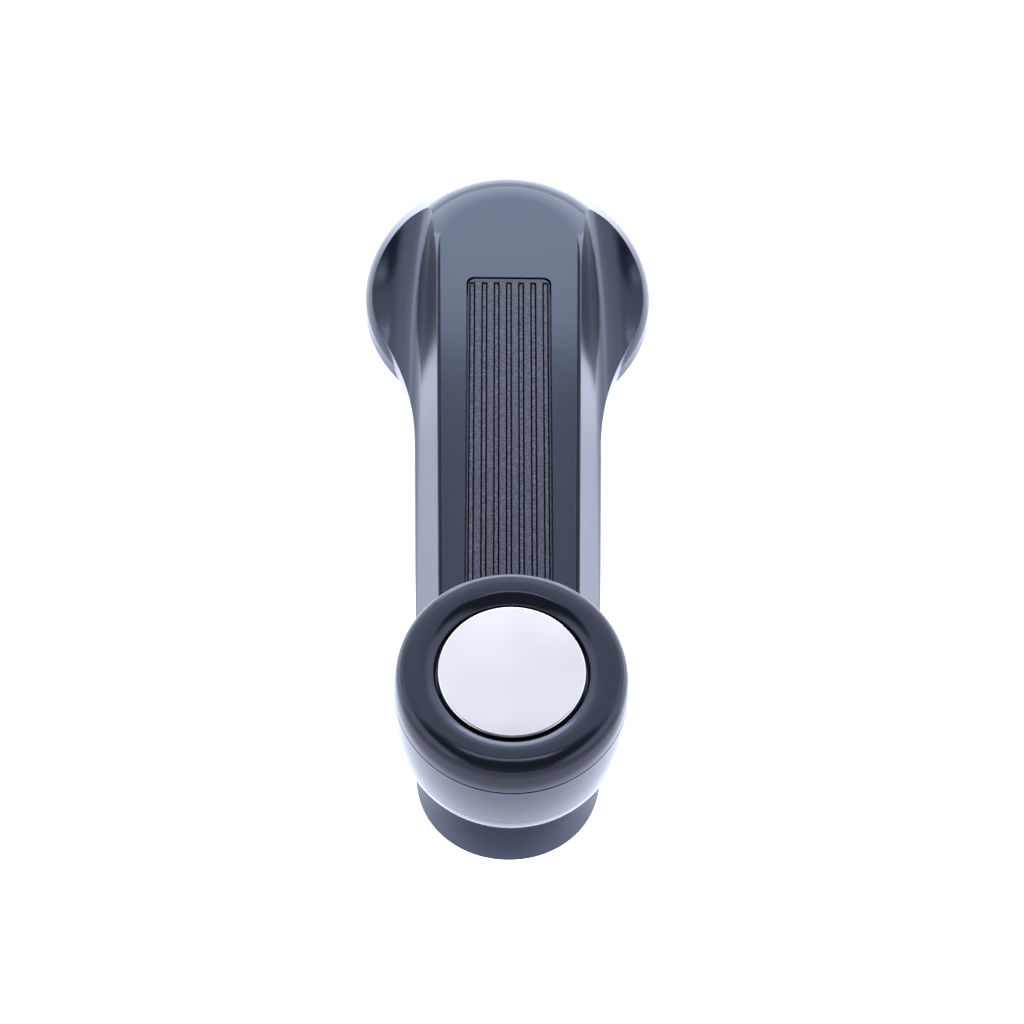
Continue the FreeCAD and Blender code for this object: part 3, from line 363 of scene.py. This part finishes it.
def moulded(name, base, roughness, ior, skin_size):
    """Moulded plastic: flow marks, faint orange peel, a skin, hairlines and rubbed edges."""
    material, tree, place = new_material(name)
    rounded = soft_normal(tree, PLASTIC_EDGE)
    flow = grain(tree, stretched(tree, place, FLOW_STRETCH), FLOW_SIZE)
    skin = grain(tree, place, skin_size, detail=2.0)
    hair = scratches(tree, place, PLASTIC_WEAR)
    patches = ramp_up(tree, grain(tree, place, RUBBED_PATCH), *RUBBED_PATCH_EDGE)
    rubbed = times(tree, edge_mask(tree, rounded), patches, PLASTIC_WEAR)
    body = tint(tree, flow, colour(*(FLOW_SHADE * part for part in base[:3])), base)
    body = tint(tree, rubbed, body, PLASTIC_RUBBED)
    body = tint(tree, times(tree, hair, HAIR_SHADE), body, PLASTIC_RUBBED)
    worn_rough = times(tree, plus(tree, hair, rubbed), PLASTIC_WORN_ROUGH)
    rough = calc(tree, "ADD", around(tree, roughness, flow, FLOW_ROUGH), worn_rough, clamp=True)
    normal = relief(tree, grain(tree, place, PEEL_SIZE, detail=1.0), PEEL_DEPTH, rounded)
    normal = relief(tree, skin, SKIN_DEPTH, normal)
    normal = relief(tree, hair, -HAIR_DEPTH, normal)
    return finish_material(material, tree, {
        "Base Color": body, "Roughness": rough, "IOR": ior, "Specular Tint": PLASTIC_SPEC,
        "Normal": normal})


STRIP_PITCH = 1.87 * MM            # from rib to rib
STRIP_RIB = 1.0 * MM
STRIP_RIB_BLUR = 0.03 * MM
STRIP_GROOVE = 0.17 * MM           # the width of the groove on either side of a rib, which is painted near-black as painted shade
STRIP_BAND = 0.95 * MM             # the smooth band inside the strip's rim
STRIP_BAND_BLUR = 0.05 * MM
STRIP_EDGE = 0.06 * MM
STRIP_GRAIN = 0.22 * MM
STRIP_PIT = 0.34 * MM
STRIP_PIT_WEIGHT = 0.5
STRIP_FINE = 0.12 * MM
STRIP_FINE_WEIGHT = 0.25
STRIP_DEPTH = 0.05 * MM
STRIP_RIB_GRAIN = 0.45             # how much of the grain the ribs have
STRIP_BLACK = colour(0.012, 0.013, 0.020)
# a lighter colour on the grain's high points: a painted highlight
STRIP_TIP_HIGHLIGHT = colour(0.105, 0.11, 0.14)
STRIP_TIP_HIGHLIGHT_HEIGHTS = (0.55, 0.95)          # heights in the grain at which the painted highlight on the tips starts and is full
STRIP_DUST = colour(0.045, 0.048, 0.064)
STRIP_DUST_SIZE = 7 * MM
STRIP_DUST_AMOUNT = 0.25
# near-black painted shade in the grooves beside the ribs
STRIP_GROOVE_SHADE = colour(0.002, 0.002, 0.003)
STRIP_GLOSS = (0.42, 0.03)         # specular level on the strip, and in its grooves where it is cut down as painted shade
STRIP_ROUGH = 0.30
STRIP_GRAIN_ROUGH = 0.25           # what the grain adds to the roughness


def strip_material(name):
    """Spark-eroded lands between smoother raised ribs, with a smooth rim band, a painted highlight
    on the grain's high points and painted shade in the grooves beside the ribs.
    """
    material, tree, place = new_material(name)
    low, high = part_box("trim_strip")
    x, y, _ = split(tree, place)
    from_land = calc(tree, "PINGPONG", x, STRIP_PITCH / 2)
    edge = (STRIP_PITCH - STRIP_RIB) / 2
    rib = ramp_up(tree, from_land, edge - STRIP_RIB_BLUR, edge + STRIP_RIB_BLUR)
    from_end = calc(tree, "MINIMUM", calc(tree, "SUBTRACT", y, low[1]),
                    calc(tree, "SUBTRACT", high[1], y))
    inside = ramp_up(tree, from_end, STRIP_BAND - STRIP_BAND_BLUR, STRIP_BAND + STRIP_BAND_BLUR)
    amount = times(tree, inside, blend(tree, rib, 1.0, STRIP_RIB_GRAIN))
    pits = times(tree, cells(tree, place, STRIP_PIT), STRIP_PIT_WEIGHT)
    coarse = plus(tree, grain(tree, place, STRIP_GRAIN, rough=0.7), pits)
    fine = times(tree, grain(tree, place, STRIP_FINE, detail=2.0), STRIP_FINE_WEIGHT)
    # painted highlight on the high points of the grain
    painted_tip_highlight = times(tree, ramp_up(tree, coarse, *STRIP_TIP_HIGHLIGHT_HEIGHTS), amount)
    dust = times(tree, grain(tree, place, STRIP_DUST_SIZE, detail=2.0), STRIP_DUST_AMOUNT)
    # the grooves beside each rib are painted near-black, with little specular: painted shade
    from_edge = calc(tree, "ABSOLUTE", calc(tree, "SUBTRACT", edge - STRIP_GROOVE / 2, from_land))
    painted_groove_shade = times(tree, ramp_up(tree, from_edge, STRIP_GROOVE, STRIP_GROOVE / 2), inside)
    body = tint(tree, painted_tip_highlight, STRIP_BLACK, STRIP_TIP_HIGHLIGHT)
    body = tint(tree, dust, body, STRIP_DUST)
    body = tint(tree, painted_groove_shade, body, STRIP_GROOVE_SHADE)
    rough = plus(tree, STRIP_ROUGH, times(tree, amount, STRIP_GRAIN_ROUGH))
    height = plus(tree, times(tree, coarse, amount), fine)
    normal = relief(tree, height, STRIP_DEPTH, soft_normal(tree, STRIP_EDGE))
    return finish_material(material, tree, {
        "Base Color": body, "Roughness": rough, "IOR": 1.5,
        "Specular IOR Level": blend(tree, painted_groove_shade, *STRIP_GLOSS), "Specular Tint": PLASTIC_SPEC,
        "Normal": normal})


NYLON_EDGE = 0.12 * MM
NYLON_CLOUD = 4 * MM
NYLON_GRAIN = 0.2 * MM
NYLON_DEPTH = 0.01 * MM
NYLON_WEAR = 0.8
NYLON_ROUGH = 0.42
NYLON_WORN_ROUGH = 0.2
NYLON_GLOW_DEPTH = 0.6 * MM


def nylon(name, base, shade, glow):
    """Waxy nylon: slight cloudiness, fine turned grain and a little light through it."""
    material, tree, place = new_material(name)
    fine = grain(tree, place, NYLON_GRAIN)
    worn_rough = times(tree, scratches(tree, place, NYLON_WEAR), NYLON_WORN_ROUGH)
    return finish_material(material, tree, {
        "Base Color": tint(tree, grain(tree, place, NYLON_CLOUD), shade, base),
        "Roughness": plus(tree, NYLON_ROUGH, worn_rough),
        "Subsurface Weight": glow, "Subsurface Scale": NYLON_GLOW_DEPTH,
        "Normal": relief(tree, fine, NYLON_DEPTH, soft_normal(tree, NYLON_EDGE))})


FOAM_CELL = 0.3 * MM
FOAM_DEPTH = 0.05 * MM
FOAM_EDGE = 0.05 * MM
FOAM_ROUGH = 0.85


def foam_tape(name, base, shade):
    """Grey foam: open cells, with their hollows painted darker as painted shade, and a flattened
    skin.
    """
    material, tree, place = new_material(name)
    foam = cells(tree, place, FOAM_CELL)
    # the hollows of the cells take the darker colour: painted shade
    return finish_material(material, tree, {
        "Base Color": tint(tree, foam, shade, base), "Roughness": FOAM_ROUGH,
        "Normal": relief(tree, foam, FOAM_DEPTH, soft_normal(tree, FOAM_EDGE))})


# ---------------------------------------------------------------- metals

METAL_EDGE = 0.1 * MM
METAL_WEAR = 0.6
METAL_CLOUD = 5 * MM
METAL_CLOUD_EDGE = (0.3, 0.75)
METAL_STREAK_ROUGH = 0.25          # how much the grain changes the roughness
METAL_HAIR_ROUGH = 0.12
METAL_HAIR_DEPTH = 0.003 * MM
METAL_WORN_SHINE = 0.1             # what wear takes off the roughness
METAL_LEAST_ROUGH = 0.05


def metal(name, bright, dull, roughness, texture, depth, lines=(1, 1, 1)):
    """Bare or plated metal. lines stretches the finish's grain, so that it runs along one axis."""
    material, tree, place = new_material(name)
    rounded = soft_normal(tree, METAL_EDGE)
    cloud = ramp_up(tree, grain(tree, place, METAL_CLOUD, detail=4.0), *METAL_CLOUD_EDGE)
    streak = grain(tree, stretched(tree, place, lines), texture)
    hair = scratches(tree, place, METAL_WEAR)
    worn = times(tree, edge_mask(tree, rounded), METAL_WEAR)
    body = tint(tree, worn, tint(tree, cloud, dull, bright), bright)
    rough = plus(tree, around(tree, roughness, streak, METAL_STREAK_ROUGH),
                 times(tree, hair, METAL_HAIR_ROUGH))
    rough = calc(tree, "SUBTRACT", rough, times(tree, worn, METAL_WORN_SHINE))
    rough = calc(tree, "MAXIMUM", rough, METAL_LEAST_ROUGH)
    normal = relief(tree, streak, depth, rounded)
    normal = relief(tree, hair, -METAL_HAIR_DEPTH, normal)
    return finish_material(material, tree, {
        "Base Color": body, "Metallic": 1.0, "Roughness": rough, "Normal": normal})


TURNED_EDGE = 0.08 * MM
TURNED_RING = 0.09 * MM
TURNED_RING_ROUGH = 0.2
TURNED_CLOUD = 4 * MM
TURNED_SPECK = 0.25 * MM
TURNED_SPECK_EDGE = (0.62, 0.72)
TURNED_SPECK_SHADE = 0.4
TURNED_SPECK_ROUGH = 0.12
TURNED_WORN = 0.6


def turned_metal(name, centre, bright, dull, roughness, depth):
    """Metal turned in a lathe: fine rings round a vertical axis through centre."""
    material, tree, place = new_material(name)
    x, y, z = split(tree, vector_calc(tree, "SUBTRACT", place, centre)["Vector"])
    radius = calc(tree, "SQRT", plus(tree, times(tree, x, x), times(tree, y, y)))
    section = add(tree, "ShaderNodeCombineXYZ", {0: radius, 1: z}).outputs[0]
    rings = grain(tree, section, TURNED_RING)
    cloud = grain(tree, place, TURNED_CLOUD)
    speck = ramp_up(tree, grain(tree, place, TURNED_SPECK, detail=2.0), *TURNED_SPECK_EDGE)
    rounded = soft_normal(tree, TURNED_EDGE)
    body = tint(tree, cloud, dull, bright)
    body = tint(tree, times(tree, speck, TURNED_SPECK_SHADE), body, dull)
    body = tint(tree, times(tree, edge_mask(tree, rounded), TURNED_WORN), body, bright)
    rough = plus(tree, around(tree, roughness, rings, TURNED_RING_ROUGH),
                 times(tree, speck, TURNED_SPECK_ROUGH))
    return finish_material(material, tree, {
        "Base Color": body, "Metallic": 1.0, "Roughness": rough,
        "Normal": relief(tree, rings, depth, rounded)})


CAP_EDGE = 0.12 * MM
CAP_PLATING = colour(0.600, 0.602, 0.605)
CAP_HAZE = colour(0.570, 0.575, 0.580)
# a lighter colour painted along the rim's edges: a painted highlight
CAP_RIM_HIGHLIGHT = colour(0.80, 0.81, 0.83)
CAP_RIM_HIGHLIGHT_AMOUNT = 0.7
CAP_HAZE_SIZE = 6 * MM
CAP_HAZE_ROUGH = 0.05
CAP_ROUGH = 0.10
CAP_WIPE = 0.6
CAP_WIPE_ROUGH = 0.10
CAP_WIPE_DEPTH = 0.002 * MM
CAP_PEEL_SIZE = 1.8 * MM
CAP_PEEL_DEPTH = 0.003 * MM


def plated_cap(name):
    """Smooth bright plating on a pressed disc: a trace of haze, faint wipe marks, a painted
    highlight on the rim.
    """
    material, tree, place = new_material(name)
    rounded = soft_normal(tree, CAP_EDGE)
    haze = grain(tree, place, CAP_HAZE_SIZE)
    wipe = scratches(tree, place, CAP_WIPE)
    # painted highlight along the rim's edges
    painted_rim_highlight = times(tree, edge_mask(tree, rounded), CAP_RIM_HIGHLIGHT_AMOUNT)
    body = tint(tree, painted_rim_highlight, tint(tree, haze, CAP_HAZE, CAP_PLATING), CAP_RIM_HIGHLIGHT)
    rough = plus(tree, CAP_ROUGH, times(tree, haze, CAP_HAZE_ROUGH),
                 times(tree, wipe, CAP_WIPE_ROUGH))
    normal = relief(tree, grain(tree, place, CAP_PEEL_SIZE, detail=1.0), CAP_PEEL_DEPTH, rounded)
    normal = relief(tree, wipe, -CAP_WIPE_DEPTH, normal)
    return finish_material(material, tree, {
        "Base Color": body, "Metallic": 1.0, "Roughness": rough, "Normal": normal})


# ---------------------------------------------------------------- the scene


def dress(material, *names):
    """Gives the named CAD nodes this material."""
    for name in names:
        slots = nodes[name].data.materials
        slots.clear()
        slots.append(material)


set_view()
add_camera()
add_tent()
add_head_light()
add_floor()

dress(moulded("arm_black", base=colour(0.005, 0.008, 0.016), roughness=0.17, ior=1.56,
              skin_size=0.3 * MM), "arm_shell")
dress(moulded("knob_gloss", base=colour(0.005, 0.006, 0.010), roughness=0.12, ior=1.55,
              skin_size=0.25 * MM), "knob_lower", "knob_upper")
dress(strip_material("strip_grained"), "trim_strip")
dress(plated_cap("cap_plating"), "knob_cap")
dress(nylon("ring_nylon", base=colour(0.030, 0.030, 0.035), shade=colour(0.020, 0.020, 0.024),
            glow=0.0), "wear_ring")
dress(nylon("washer_nylon", base=colour(0.80, 0.79, 0.74), shade=colour(0.70, 0.68, 0.61),
            glow=0.3), "thrust_washer")
dress(foam_tape("tape_foam", base=colour(0.16, 0.16, 0.17), shade=colour(0.05, 0.05, 0.055)),
      "cap_adhesive")
dress(metal("strap_zinc", bright=colour(0.62, 0.64, 0.68), dull=colour(0.42, 0.44, 0.49),
            roughness=0.34, texture=0.35 * MM, depth=0.012 * MM, lines=(1, 0.12, 1)), "core_strap")
dress(metal("screw_zinc", bright=colour(0.66, 0.67, 0.70), dull=colour(0.48, 0.49, 0.52),
            roughness=0.28, texture=0.3 * MM, depth=0.008 * MM), "core_screws")
dress(metal("hub_casting", bright=colour(0.50, 0.51, 0.53), dull=colour(0.34, 0.35, 0.37),
            roughness=0.46, texture=0.4 * MM, depth=0.03 * MM), "hub_bush")
dress(metal("clip_steel", bright=colour(0.34, 0.35, 0.38), dull=colour(0.16, 0.17, 0.20),
            roughness=0.32, texture=0.25 * MM, depth=0.008 * MM, lines=(1, 0.2, 1)),
      "spindle_clip", "wave_washer", "push_on_clip")
dress(turned_metal("spindle_turned", knob_axis, bright=colour(0.68, 0.69, 0.71),
                   dull=colour(0.50, 0.51, 0.54), roughness=0.24, depth=0.006 * MM),
      "knob_spindle", "spindle_washer")
dress(turned_metal("bush_bronze", knob_axis, bright=colour(0.60, 0.40, 0.19),
                   dull=colour(0.34, 0.21, 0.10), roughness=0.42, depth=0.015 * MM), "knob_bush")
